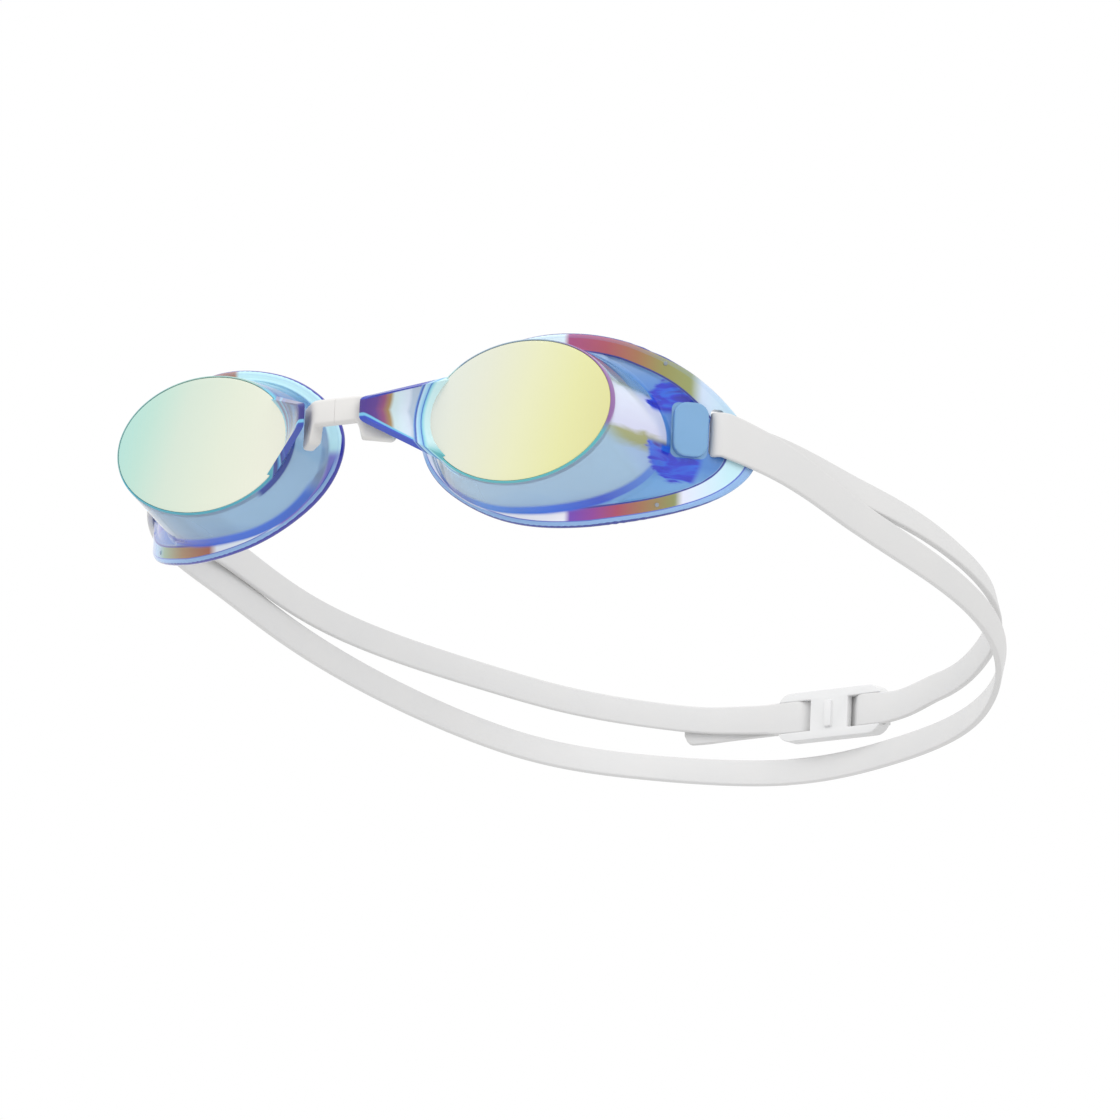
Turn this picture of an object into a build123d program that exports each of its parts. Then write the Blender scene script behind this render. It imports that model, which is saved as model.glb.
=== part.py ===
"""Racing swim goggles: two clear cups with mirrored lenses, a soft nose belt, and a
double-strand silicone strap with a three-bar slide buckle.

Frame: millimetres, +Z towards the brow, +Y back towards the head, +X towards the wearer's
left. The origin is midway between the two lenses, on the plane of their front faces.
The left side is modelled and the right side mirrors it.
"""

from build123d import *
from math import cos, degrees, radians, sin
import os

# Lenses and cup walls
lens_spacing = 70.0  # between the lens centres
lens_half_width = 19.25
lens_half_height = 12.75
lens_thickness = 1.8
rim_width = 0.65  # cup rim that shows round the lens
lens_clearance = 0.05
wall = 1.5
wall_depth = 20.0  # where the flared wall section is drawn, before it is cut
back_centre_x = 30.9
back_centre_z = -4.8
back_half_width = 25.4
back_half_height = 18.5

# Seal flange: a plate that is flat by the nose and then bends back along an arc
flange_front = 7.5  # behind the lens faces
flange_thickness = 1.6
bend_x = 30.0  # where the arc starts
bend_radius = 41.5  # of the plate's outer face
flange_outline = [
    (67.1, -5.0), (64.7, 2.6), (59.0, 9.4), (50.0, 14.2), (38.0, 16.1), (25.5, 14.7), (14.8, 9.6),
    (8.6, 0.5), (10.6, -6.8), (18.0, -13.6), (31.8, -19.1), (44.7, -19.8), (56.5, -17.2), (63.9, -12.5),
]

# Temple slot, end bar and pad, placed by angle along the flange's arc
bar_angle = 53.3
tip_angle = 64.5
joint_angle = 0.5  # between the strap's fold and its front stretch
slot_width = 2.55
slot_height = 9.0
slot_z = -1.4
slot_corner = 0.8
pad_length = 6.4
pad_height = 10.0
pad_corner = 2.4
pad_rise = 0.8
pad_gap = 0.5  # between the pad and the slot

# Nose wing: a wedge from the lens's inner edge forward to a blunt tip
wing_tip_x = 5.8
wing_tip_y = -8.4
wing_tip_z = 1.2
wing_tip_height = 4.0
wing_thickness = 1.6
wing_root_y = 0.8
wing_root_half_height = 8.0
wing_root_nose_side = (19.2, 15.1)  # x at the corners and at the middle
wing_root_lens_side = (20.9, 16.8)
wing_root_taper = 0.4

# Nose belt
belt_z = 1.6
belt_height = 4.8
belt_thickness = 2.2
belt_y = -6.3
belt_middle_half = 3.4
belt_gap = 0.5  # between the middle and an end, where the belt bends
belt_end_bottom = -3.9
belt_corner = (4.7, -6.1)
belt_far_end = (10.2, -0.9)

# Strap
strap_thickness = 1.3
strap_gap = 0.2  # between the strap and the end bar
strap_width = 5.8
fold_width = 8.2
strand_turn = 7.0  # of a strand's start past the flange's direction there, in degrees
narrowing = 0.6  # how much wider than the strap a strand still is at its second height
front_end_y = 60.0  # where the strap's bending front stretches end
lower_path = [(72.4, 54.6), (75.6, 86.0), (71.0, 117.0), (54.8, 140.6), (28.0, 153.8), (0.0, 159.8)]
lower_heights = [(29.0, -1.4), (60.0, -9.8), (94.6, -17.8), (136.0, -28.2), (152.0, -34.2), (165.0, -36.8)]
upper_path = [(70.2, 54.6), (73.4, 86.0), (68.8, 115.5), (52.6, 138.2)]
upper_heights = [(29.0, -1.4), (60.0, -5.2), (94.6, -10.7), (128.0, -17.8), (142.0, -22.9), (150.0, -25.4),
                 (157.0, -25.4), (165.0, -25.4)]

# Buckle: x runs along the strap towards the wearer's right, y is up, z points away from the head
buckle_centre = (11.7, 155.13, -25.4)
buckle_slope = -0.157  # of the straight stretch of strap, seen from above
buckle_length = 27.0
buckle_height = 10.0
buckle_corner = 3.4
rail_inner = 3.2
rail_low = -1.0
rail_high = 2.4
end_bar_low = 0.9
end_bar_inner = 8.0
centre_bar_half = 4.8
centre_bar_high = 0.6
ridge_rise = 0.5
ridge_width = 1.8
straight_half = 21.0
weave_thickness = 1.2
weave_width = 5.4
weave_end = 13.8
weave_gap = 0.2
weave_low = 1.5
weave_lower = 2.9
tail_offset = 3.3
tail_reach = 15.5  # past the straight stretch
tail_lie = 1.75  # from the strand that the tail's tip lies against
tail_drop = 1.6
far = 200.0  # past the whole object
cavity_front = 1.0  # the cup's hollow is drawn from this far in front of the lens face
clear = 4.0  # how far cutting shapes start in front of what they cut
cup_depth = 45.0  # past the deepest part of a cup
cup_below = 30.0  # past the cups' lowest and highest points
strap_below = 60.0  # past the strap's lowest point
strap_above = 20.0
side_reach = 90.0  # past the strap on each side

lens_x = lens_spacing / 2
arc_centre_y = flange_front + bend_radius
outer_layer = bend_radius + strap_gap + strap_thickness / 2
inner_layer = bend_radius - flange_thickness - strap_gap - strap_thickness / 2
bar_middle = (outer_layer + inner_layer) / 2


def arc_point(radius, angle):
    """A point beside the flange's arc, seen from above; the angle is 0 at the bend."""
    turn = radians(angle)
    return (bend_x + radius * sin(turn), arc_centre_y - radius * cos(turn))


def arc_plane(radius, angle, height):
    """A plane that faces away from the flange's arc, with x along it and y up."""
    turn = radians(angle)
    x, y = arc_point(radius, angle)
    return Plane(origin=(x, y, height), x_dir=(cos(turn), sin(turn), 0), z_dir=(sin(turn), -cos(turn), 0))


def buckle_point(along, out):
    """A point by the buckle, seen from above."""
    spot = buckle_plane.from_local_coords(Vector(along, 0, out))
    return (spot.X, spot.Y)


buckle_plane = Plane(
    origin=buckle_centre,
    x_dir=Vector(-1, -buckle_slope, 0).normalized(),
    z_dir=Vector(-buckle_slope, 1, 0).normalized(),
)

# ---------------------------------------------------------------- construction solids
with BuildPart() as wall_body:
    with BuildSketch(Plane.XZ):
        with Locations((lens_x, 0)):
            Ellipse(lens_half_width + rim_width, lens_half_height + rim_width)
    with BuildSketch(Plane.XZ.offset(-wall_depth)):
        with Locations((back_centre_x, back_centre_z)):
            Ellipse(back_half_width, back_half_height)
    loft()
    with BuildSketch(Plane.XY.offset(-cup_below)):
        with BuildLine():
            front = Polyline((-5, flange_front), (-5, -1), (80, -1), arc_point(bend_radius, 89))
            bend = CenterArc((bend_x, arc_centre_y), bend_radius, -1, -89)
            Line(bend @ 1, front @ 0)
        make_face()
    extrude(amount=2 * cup_below, mode=Mode.INTERSECT)

with BuildPart() as cavity:
    with BuildSketch(Plane.XZ.offset(cavity_front)):
        with Locations((lens_x, 0)):
            Ellipse(lens_half_width + rim_width - wall, lens_half_height + rim_width - wall)
    with BuildSketch(Plane.XZ.offset(-wall_depth)):
        with Locations((back_centre_x, back_centre_z)):
            Ellipse(back_half_width - wall, back_half_height - wall)
    loft()
    with BuildSketch(Plane.XZ.offset(clear)):
        with Locations((lens_x, 0)):
            Ellipse(lens_half_width + lens_clearance, lens_half_height + lens_clearance)
    extrude(amount=-clear - lens_thickness)

with BuildPart() as flange:
    with BuildSketch(Plane.XZ):
        with BuildLine():
            Spline(*flange_outline, periodic=True)
        make_face()
    extrude(amount=-cup_depth)
    with BuildSketch(Plane.XY.offset(-cup_below)):
        with BuildLine():
            outer = CenterArc((bend_x, arc_centre_y), bend_radius, -10, -80)
            outer_flat = Line(outer @ 1, (0, flange_front))
            nose_edge = Line(outer_flat @ 1, (0, flange_front + flange_thickness))
            inner_flat = Line(nose_edge @ 1, (bend_x, flange_front + flange_thickness))
            inner = CenterArc((bend_x, arc_centre_y), bend_radius - flange_thickness, -90, 80)
            Line(inner @ 1, outer @ 0)
        make_face()
    extrude(amount=2 * cup_below, mode=Mode.INTERSECT)

with BuildPart() as wing:
    with BuildSketch(Plane.XZ.offset(-wing_root_y)):
        with BuildLine():
            corner_x, middle_x = wing_root_nose_side
            nose_side = ThreePointArc(
                (corner_x, wing_root_half_height), (middle_x, 0), (corner_x, -wing_root_half_height)
            )
            corner_x, middle_x = wing_root_lens_side
            lens_corner_z = wing_root_half_height - wing_root_taper
            root_bottom = Line(nose_side @ 1, (corner_x, -lens_corner_z))
            lens_side = ThreePointArc(root_bottom @ 1, (middle_x, 0), (corner_x, lens_corner_z))
            Line(lens_side @ 1, nose_side @ 0)
        make_face()
    with BuildSketch(Plane.XZ.offset(-wing_tip_y)):
        with BuildLine():
            Polyline(
                (wing_tip_x, wing_tip_z + wing_tip_height / 2),
                (wing_tip_x, wing_tip_z - wing_tip_height / 2),
                (wing_tip_x + wing_thickness, wing_tip_z - wing_tip_height / 2),
                (wing_tip_x + wing_thickness, wing_tip_z + wing_tip_height / 2),
                close=True,
            )
        make_face()
    loft(ruled=True)

# ---------------------------------------------------------------- cups and lenses
with BuildPart() as left_cup:
    add(wall_body.part)
    add(flange.part)
    pad_angle = bar_angle - degrees((slot_width + pad_gap + pad_length / 2) / bend_radius)
    with BuildSketch(arc_plane(bend_radius - 1, pad_angle, slot_z)):
        RectangleRounded(pad_length, pad_height, pad_corner)
    extrude(amount=1 + pad_rise)
    add(cavity.part, mode=Mode.SUBTRACT)
    add(wing.part)
    with BuildSketch(Plane.XZ.offset(clear)):
        with Locations((lens_x, 0)):
            Ellipse(lens_half_width + lens_clearance, lens_half_height + lens_clearance)
    extrude(amount=-clear - lens_thickness, mode=Mode.SUBTRACT)
    add(cavity.part, mode=Mode.SUBTRACT)
    slot_angle = bar_angle - degrees(slot_width / 2 / bar_middle)
    with BuildSketch(arc_plane(bar_middle, slot_angle, slot_z)):
        RectangleRounded(slot_width, slot_height, slot_corner)
    extrude(amount=clear, both=True, mode=Mode.SUBTRACT)
left_cup.part.label = "left_cup"

with BuildPart() as left_lens:
    with BuildSketch(Plane.XZ):
        with Locations((lens_x, 0)):
            Ellipse(lens_half_width, lens_half_height)
    extrude(amount=-lens_thickness)
    fillet(left_lens.faces().sort_by(Axis.Y)[0].edges(), radius=0.3)
left_lens.part.label = "left_lens"

# ---------------------------------------------------------------- nose belt
with BuildPart() as nose_belt_middle:
    with Locations((0, belt_y, belt_z)):
        Box(2 * belt_middle_half, belt_thickness, belt_height)
    fillet(nose_belt_middle.edges().filter_by(Axis.X), radius=0.5)
nose_belt_middle.part.label = "nose_belt_middle"

with BuildPart() as left_nose_belt_end:
    with BuildSketch(Plane.XY.offset(belt_end_bottom)):
        with BuildLine():
            Polyline((belt_middle_half + belt_gap, belt_y), belt_corner, belt_far_end)
        trace(line_width=belt_thickness)
    extrude(amount=belt_z + belt_height / 2 - belt_end_bottom)
    upright = left_nose_belt_end.edges().filter_by(Axis.Z).sort_by(Axis.Y)[-2:]
    fillet(upright, radius=0.8)
left_nose_belt_end.part.label = "left_nose_belt_end"

# ---------------------------------------------------------------- strap loops
with BuildPart() as left_strap_loop:
    with BuildSketch(Plane.XY.offset(slot_z - fold_width / 2)):
        with BuildLine():
            outer_run = CenterArc((bend_x, arc_centre_y), outer_layer, tip_angle - 90, bar_angle - tip_angle)
            fold = TangentArc(arc_point(outer_layer, bar_angle), arc_point(inner_layer, bar_angle),
                              tangent=outer_run % 1)
            CenterArc((bend_x, arc_centre_y), inner_layer, bar_angle - 90, tip_angle - bar_angle)
        trace(line_width=strap_thickness)
    extrude(amount=fold_width)
left_strap_loop.part.label = "left_strap_loop"

# ---------------------------------------------------------------- strap strands
outer_start = arc_point(outer_layer, tip_angle + joint_angle)
inner_start = arc_point(inner_layer, tip_angle + joint_angle)
heading = Vector(cos(radians(tip_angle + strand_turn)), sin(radians(tip_angle + strand_turn)))


def mirrored(points):
    return [(-x, y) for x, y in reversed(points)]


def side_view(heights):
    """A band in the YZ plane that is wide at the fold and narrows to the strap's width."""
    widths = [fold_width] + [strap_width + narrowing] + [strap_width] * (len(heights) - 2)
    above = [(y, z + w / 2) for (y, z), w in zip(heights, widths)]
    below = [(y, z - w / 2) for (y, z), w in zip(heights, widths)]
    with BuildSketch(Plane.YZ.offset(-side_reach)) as view:
        with BuildLine():
            top = Spline(*above)
            bottom = Spline(*below)
            Line(top @ 0, bottom @ 0)
            Line(top @ 1, bottom @ 1)
        make_face()
    return view.sketch


with BuildPart() as lower_strand:
    half = [outer_start] + lower_path
    ring = half + mirrored(half[:-1])
    with BuildSketch(Plane.XY.offset(-strap_below)):
        with BuildLine():
            Spline(*ring, tangents=(heading, Vector(heading.X, -heading.Y)))
        trace(line_width=strap_thickness)
    extrude(amount=strap_below + strap_above)
    extrude(side_view(lower_heights), amount=2 * side_reach, mode=Mode.INTERSECT)

with BuildPart() as upper_strand:
    right_of_buckle = [inner_start] + upper_path + [buckle_point(-straight_half, 0)]
    along = Vector(-1, -buckle_slope).normalized()
    left_of_buckle = [buckle_point(straight_half, 0)] + mirrored([inner_start] + upper_path)
    with BuildSketch(Plane.XY.offset(-strap_below)):
        with BuildLine():
            first = Spline(*right_of_buckle, tangents=(heading, along))
            straight = Line(first @ 1, left_of_buckle[0])
            tail_side = Spline(*left_of_buckle, tangents=(along, Vector(heading.X, -heading.Y)))
        trace(line_width=strap_thickness)
    extrude(amount=strap_below + strap_above)
    extrude(side_view(upper_heights), amount=2 * side_reach, mode=Mode.INTERSECT)


def cut(source, name, low, high):
    """One piece of a strand, between two corners of a box seen from above."""
    with BuildPart() as piece:
        add(source.part)
        with Locations(((low[0] + high[0]) / 2, (low[1] + high[1]) / 2, -20)):
            Box(high[0] - low[0], high[1] - low[1], 100, mode=Mode.INTERSECT)
    piece.part.label = name
    return piece


left_gap = buckle_point(-weave_end - weave_gap, 0)[0]
right_gap = buckle_point(weave_end + weave_gap, 0)[0]
lower_strap_back = cut(lower_strand, "lower_strap_back", (-far, front_end_y), (far, far))
left_lower_strap_front = cut(lower_strand, "left_lower_strap_front", (0, 0), (far, front_end_y))
left_upper_strap_front = cut(upper_strand, "left_upper_strap_front", (0, 0), (far, front_end_y))
left_upper_strap = cut(upper_strand, "left_upper_strap", (left_gap, front_end_y), (far, far))
right_upper_strap = cut(upper_strand, "right_upper_strap", (-far, front_end_y), (right_gap, far))

# ---------------------------------------------------------------- buckle
with BuildPart() as strap_buckle:
    with BuildSketch(buckle_plane.offset(rail_low)):
        RectangleRounded(buckle_length, buckle_height, buckle_corner)
        Rectangle(buckle_length + 2, 2 * rail_inner, mode=Mode.SUBTRACT)
    extrude(amount=rail_high - rail_low)
    bar_length = buckle_length / 2 - end_bar_inner
    with BuildSketch(buckle_plane.offset(end_bar_low)):
        with Locations((end_bar_inner + bar_length / 2, 0), (-end_bar_inner - bar_length / 2, 0)):
            Rectangle(bar_length, 2 * rail_inner)
    extrude(amount=rail_high - end_bar_low)
    with BuildSketch(buckle_plane.offset(rail_low)):
        Rectangle(2 * centre_bar_half, 2 * rail_inner)
    extrude(amount=centre_bar_high - rail_low)
    with BuildSketch(buckle_plane.offset(rail_low - ridge_rise)):
        Rectangle(ridge_width, 2 * rail_inner - 1)
    extrude(amount=ridge_rise)
strap_buckle.part.label = "strap_buckle"


def buckle_strip(name, points, width):
    """A strip of strap that runs through the buckle; the points are along it and outwards."""
    with BuildPart() as strip:
        with BuildSketch(Plane.XY.offset(buckle_centre[2] - width / 2)):
            with BuildLine():
                Polyline(*[buckle_point(*point) for point in points])
            trace(line_width=weave_thickness)
        extrude(amount=width)
    strip.part.label = name
    return strip


left_strap_weave = buckle_strip("left_strap_weave", [
    (-weave_end, 0), (-end_bar_inner + 0.1, 0), (-5.0, weave_low), (-1.2, weave_low),
    (1.0, weave_lower), (5.2, weave_lower), (end_bar_inner, tail_offset), (weave_end, tail_offset),
], weave_width)
right_strap_weave = buckle_strip("right_strap_weave", [
    (weave_end, 0), (end_bar_inner - 0.1, 0), (5.0, weave_low), (1.7, weave_low),
], weave_width)

with BuildPart() as strap_tail:
    tail_start = buckle_point(weave_end + weave_gap, tail_offset)
    tail_bend = buckle_point(straight_half, tail_offset)
    tip_along = tail_reach / tail_side.length
    tail_tip = tail_side @ tip_along + (tail_side % tip_along).rotate(Axis.Z, -90) * tail_lie
    with BuildSketch(Plane.XY.offset(buckle_centre[2] - weave_width / 2 - tail_drop)):
        with BuildLine():
            run = Line(tail_start, tail_bend)
            TangentArc(tail_bend, (tail_tip.X, tail_tip.Y), tangent=run % 1)
        trace(line_width=weave_thickness)
    extrude(amount=weave_width)
strap_tail.part.label = "strap_tail"


def other_side(source, name):
    """The wearer's right-hand copy of a left-hand piece."""
    with BuildPart() as copy:
        mirror(source.part, about=Plane.YZ)
    copy.part.label = name
    return copy


pieces = [
    left_cup, left_lens, nose_belt_middle, left_nose_belt_end, left_strap_loop, left_lower_strap_front,
    left_upper_strap_front, left_upper_strap, right_upper_strap, lower_strap_back, strap_buckle,
    left_strap_weave, right_strap_weave, strap_tail,
    other_side(left_cup, "right_cup"),
    other_side(left_lens, "right_lens"),
    other_side(left_nose_belt_end, "right_nose_belt_end"),
    other_side(left_strap_loop, "right_strap_loop"),
    other_side(left_lower_strap_front, "right_lower_strap_front"),
    other_side(left_upper_strap_front, "right_upper_strap_front"),
]
os.makedirs("parts", exist_ok=True)
for piece in pieces:
    export_step(piece.part, f"parts/{piece.part.label}.step")
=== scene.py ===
"""Looks of the racing swim goggles: cups, mirrored lenses, nose belt, strap and buckle.

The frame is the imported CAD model's: metres, +X towards the wearer's left, +Y back towards the
head, +Z towards the brow. Sizes below are in millimetres, and MM turns them into metres.
"""

from math import asin, cos, pi, radians, sin, sqrt

import bmesh
import bpy
import numpy as np
from mathutils import Matrix, Vector


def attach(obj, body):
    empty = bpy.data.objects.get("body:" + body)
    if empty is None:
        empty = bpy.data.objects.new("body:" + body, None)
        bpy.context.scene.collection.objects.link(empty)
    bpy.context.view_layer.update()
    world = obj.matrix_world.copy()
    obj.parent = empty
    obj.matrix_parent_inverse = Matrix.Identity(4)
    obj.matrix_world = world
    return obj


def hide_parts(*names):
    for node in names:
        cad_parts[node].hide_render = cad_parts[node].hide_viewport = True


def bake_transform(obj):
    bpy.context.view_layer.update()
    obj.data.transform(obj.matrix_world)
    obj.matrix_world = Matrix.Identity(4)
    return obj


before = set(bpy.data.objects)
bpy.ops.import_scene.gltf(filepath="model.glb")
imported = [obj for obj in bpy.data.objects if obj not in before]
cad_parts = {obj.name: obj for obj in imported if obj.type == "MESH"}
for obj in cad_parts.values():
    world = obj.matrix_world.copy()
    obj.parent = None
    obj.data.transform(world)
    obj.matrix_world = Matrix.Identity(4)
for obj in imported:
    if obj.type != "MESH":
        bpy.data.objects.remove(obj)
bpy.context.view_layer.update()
MM = 0.001

# ---------------------------------------------------------------- sizes, in millimetres
LENS_X = 35.0
LENS_HALF = (19.3, 12.8)
POCKET_HALF = (19.3, 12.8)
LENS_THICKNESS = 1.8
LENS_CROWN = 0.2
LENS_EDGE = [(0.994, 0.03), (0.999, 0.12), (1.0, 0.3), (1.0, 1.6), (0.995, LENS_THICKNESS)]
POCKET_DEPTHS = [LENS_THICKNESS, 0.9, 0.25]
RIM_ROUNDING = [(0.05, 0.05), (0.16, 0.0), (0.27, 0.08)]
RIM_DROP = 0.3
RIM_HALF = (19.62, 13.12)
FOOT_HALF = (19.9, 13.4)
WALL = 1.5
FILLET = 0.9
FILLET_SHARE = 0.35
INNER_FILLET = 0.5
BACK_Y = 20.0
BACK_CENTRE = (30.9, -4.8)
BACK_HALF = (25.4, 18.5)
FLANGE_Y = 7.5
FLANGE_THICKNESS = 1.6
BEND_X = 30.0
BEND_RADIUS = 41.5
ARC_Y = FLANGE_Y + BEND_RADIUS
OUTLINE = [
    (67.1, -5.0), (64.7, 2.6), (59.0, 9.4), (50.0, 14.2), (38.0, 16.1), (25.5, 14.7), (14.8, 9.6),
    (8.6, 0.5), (10.6, -6.8), (18.0, -13.6), (31.8, -19.1), (44.7, -19.8), (56.5, -17.2), (63.9, -12.5),
]
OUTLINE_CENTRE = (37.0, -2.0)
AROUND = 256
BORDER = 3.4
RECESS = 0.5
RECESS_SLOPE = 0.5
MOULD_MARKS = [(55.4, 10.5), (55.0, -15.6)]
MARK_RADIUS = 0.55
MARK_RISE = 0.14
WING_ROOT_OUTER = [(19.2, 8.0), (16.3, 4.6), (15.1, 0.0), (16.3, -4.6), (19.2, -8.0)]
WING_ROOT_INNER = [(20.9, -7.6), (18.0, -4.4), (16.8, 0.0), (18.0, 4.4), (20.9, 7.6)]
WING_ROOT_HALF = 8.0
WING_ROOT_Y = 0.8
WING_TIP_Y = -8.4
WING_TIP_X = (5.8, 7.4)
WING_TIP_TOP = 3.2
WING_TIP_BOTTOM = -0.8
WING_TIP = (6.6, 1.2)
WING_TIP_ROUNDING = [(0.965, 0.93), (0.985, 0.8), (0.996, 0.6), (1.0, 0.35)]
WING_SPOTS = 13

SLOT_ANGLE = 53.3
SLOT_WIDTH = 2.55
SLOT_HEIGHT = 8.5
SLOT_Z = -1.4
SLOT_CORNER = 0.8
SLOT_DEPTH = 8.0
OUTER_LAYER = 42.35
INNER_LAYER = 39.05
BAR_MIDDLE = (OUTER_LAYER + INNER_LAYER) / 2
PAD_ANGLE = 44.67
PAD_SIZE = (6.4, 10.0)
PAD_CORNER = 2.4
PAD_RISE = 0.8

BELT_PLAN = [(0.0, -6.3), (2.4, -6.3), (4.4, -6.15), (5.6, -5.25), (7.6, -3.4), (9.9, -1.2)]
BELT_TOP = 4.0
BELT_BOTTOM = -0.8
BELT_THICKNESS = 2.2
BELT_END = 1.2
LOBE_FROM = 4.2
LOBE_RAMP = 1.4
LOBE_DROP = 3.1

STRAP_THICKNESS = 1.3
STRAP_CORNER = 0.4
FOLD_END_ANGLE = 64.5
SPLIT_Y = 44.0
LOWER_PLAN = [(72.1, 54.6), (74.9, 86.0), (70.2, 117.0), (54.2, 140.1), (28.0, 153.0), (0.0, 159.0)]
UPPER_PLAN = [(70.3, 54.6), (73.9, 86.0), (69.6, 116.0), (53.8, 139.0)]
LOWER_HEIGHTS = {
    1: ([22, 31, 44, 60, 94.6, 136, 152, 160], [-1.3, -4.1, -7.5, -10.9, -17.5, -28.0, -34.0, -36.3]),
    -1: ([22, 31, 44, 60, 94.6, 136, 152, 160], [-1.3, -4.1, -7.6, -10.9, -17.4, -28.8, -34.4, -36.3]),
}
UPPER_HEIGHTS = {
    1: ([22, 31, 44, 60, 78, 94.6, 136, 148, 152, 153.6, 160],
        [-1.3, -2.2, -3.4, -5.1, -7.4, -10.4, -18.9, -22.2, -23.5, -24.3, -25.2]),
    -1: ([22, 31, 44, 60, 94.6, 136, 146, 152, 158, 160],
         [-1.3, -2.2, -3.6, -5.4, -10.5, -17.7, -20.6, -22.2, -24.2, -25.2]),
}
LEAN_AT = [0, 60, 95, 136, 152, 160]
LOWER_LEANS = {1: [0, 4, 7, 11, 3, 7], -1: [0, 0, 2, 12, 16, 7]}
UPPER_LEANS = {1: [0, -20, -22, -10, -2, 0], -1: [0, 3, 3, 5, 3, 0]}
WIDTHS_AT = [22, 31, 44, 60, 95, 136, 160]
WIDTHS = {1: [8.2, 7.5, 6.7, 6.0, 5.4, 5.3, 5.4], -1: [8.2, 7.5, 7.0, 6.6, 6.0, 5.6, 5.4]}

BUCKLE_CENTRE = np.array([11.7, 155.13, -25.4])
BUCKLE_ALONG = np.array([-0.98789, 0.1551, 0.0])
BUCKLE_OUT = np.array([0.1551, 0.98789, 0.0])
STRAIGHT_HALF = 21.0
STRAIGHT_STOPS = (STRAIGHT_HALF, 17.0, 12.0, 8.0)
WEAVE_REACH = STRAIGHT_HALF + 14.0
BUCKLE_WIDTH_REACH = STRAIGHT_HALF - 4.0
WOVEN_WIDTH_REACH = 12.5
WEAVE_THICKNESS = 1.2
WOVEN_WIDTH = 6.6
BUCKLE_WIDTH = 6.0
BUCKLE_ROUNDING = 0.4
WEAVES = {
    1: [
        (-16.5, -0.1, 0.2), (-13, -0.3), (-9.5, -0.35), (-7.8, -0.2), (-6.3, 0.9), (-5.2, 1.5),
        (-4.2, 1.6), (-1.2, 1.6), (0.8, 2.9), (2.0, 3.1), (5.2, 3.1), (8.4, 3.3),
    ],
    -1: [
        (16.5, -0.1, 0.3), (13, -0.3, 0.1), (9.5, -0.35), (7.8, -0.2), (6.3, 0.9), (5.2, 1.5),
        (4.2, 1.6), (1.7, 1.6),
    ],
}
TAIL = [
    (8, 3.3), (14, 2.6, 0.1), (21, 1.7, -0.1), (28, 0.2, -0.5), (33, -1.2, -0.9), (36.5, -2.5, -1.0),
]
TAIL_WIDTH = 5.6
TAIL_TIP = 1.6


def tail_widths(path):
    """The tail's width along its path, with a rounded tip."""
    left_over = np.linalg.norm(path - path[-1], axis=1)
    return TAIL_WIDTH * np.sqrt(1 - np.clip(1 - left_over / TAIL_TIP, 0, 0.93) ** 2)


# ---------------------------------------------------------------- curves
def cubic(at, values, where):
    """A natural cubic spline through values at the places at, read at where."""
    at, values, where = np.asarray(at, float), np.asarray(values, float), np.asarray(where, float)
    gap = np.diff(at)
    slope = np.diff(values) / gap
    count = len(at)
    system = np.eye(count)
    right = np.zeros(count)
    for i in range(1, count - 1):
        system[i, i - 1:i + 2] = gap[i - 1], 2 * (gap[i - 1] + gap[i]), gap[i]
        right[i] = 6 * (slope[i] - slope[i - 1])
    bend = np.linalg.solve(system, right)
    i = np.clip(np.searchsorted(at, where) - 1, 0, count - 2)
    t = where - at[i]
    first = slope[i] - gap[i] * (2 * bend[i] + bend[i + 1]) / 6
    return values[i] + first * t + bend[i] / 2 * t**2 + (bend[i + 1] - bend[i]) / (6 * gap[i]) * t**3


def through(knots, step):
    """Points about step apart along a smooth curve through the knots."""
    knots = np.asarray(knots, float)
    at = np.concatenate([[0], np.cumsum(np.linalg.norm(np.diff(knots, axis=0), axis=1))])
    where = np.linspace(0, at[-1], max(2, int(at[-1] / step)))
    return np.stack([cubic(at, knots[:, k], where) for k in range(knots.shape[1])], axis=1)


def arc_point(radius, angle):
    """A point beside the flange's arc, seen from above; the angle is 0 at the bend."""
    turn = radians(angle)
    return np.array([BEND_X + radius * sin(turn), ARC_Y - radius * cos(turn)])


def arc_frame(radius, angle, z):
    """Where and which way something stands on the flange's arc: x along it, y up, z away from it."""
    turn = radians(angle)
    x, y = arc_point(radius, angle)
    columns = (
        (cos(turn), 0, sin(turn), x * MM),
        (sin(turn), 0, -cos(turn), y * MM),
        (0, 1, 0, z * MM),
        (0, 0, 0, 1),
    )
    return Matrix(columns)


def buckle_point(along, out, z=0.0):
    return BUCKLE_CENTRE + along * BUCKLE_ALONG + out * BUCKLE_OUT + np.array([0, 0, z])


# ---------------------------------------------------------------- meshes
def mesh_object(name, points, faces, mirrored=False):
    """A smooth-shaded object from points in millimetres, mirrored to the wearer's right if asked."""
    points = np.asarray(points, float) * MM
    if mirrored:
        points = points * [-1, 1, 1]
        faces = [tuple(reversed(face)) for face in faces]
    mesh = bpy.data.meshes.new(name)
    mesh.from_pydata(points.tolist(), [], faces)
    mesh.validate()
    mesh.update()
    made = bpy.data.objects.new(name, mesh)
    bpy.context.scene.collection.objects.link(made)
    mesh.shade_smooth()
    return made


def grid_faces(rows, columns, rows_close, columns_close):
    """Quads over a grid of points numbered row by row."""
    return [
        (r * columns + c, r * columns + (c + 1) % columns,
         (r + 1) % rows * columns + (c + 1) % columns, (r + 1) % rows * columns + c)
        for r in range(rows - (not rows_close))
        for c in range(columns - (not columns_close))
    ]


def capped_sweep(name, rings, mirrored=False):
    """A closed solid through rings of points, with a face over each end."""
    rings = np.asarray(rings, float)
    rows, columns = rings.shape[:2]
    faces = grid_faces(rows, columns, False, True)
    faces.append(tuple(reversed(range(columns))))
    faces.append(tuple((rows - 1) * columns + c for c in range(columns)))
    return mesh_object(name, rings.reshape(-1, 3), faces, mirrored)


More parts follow.
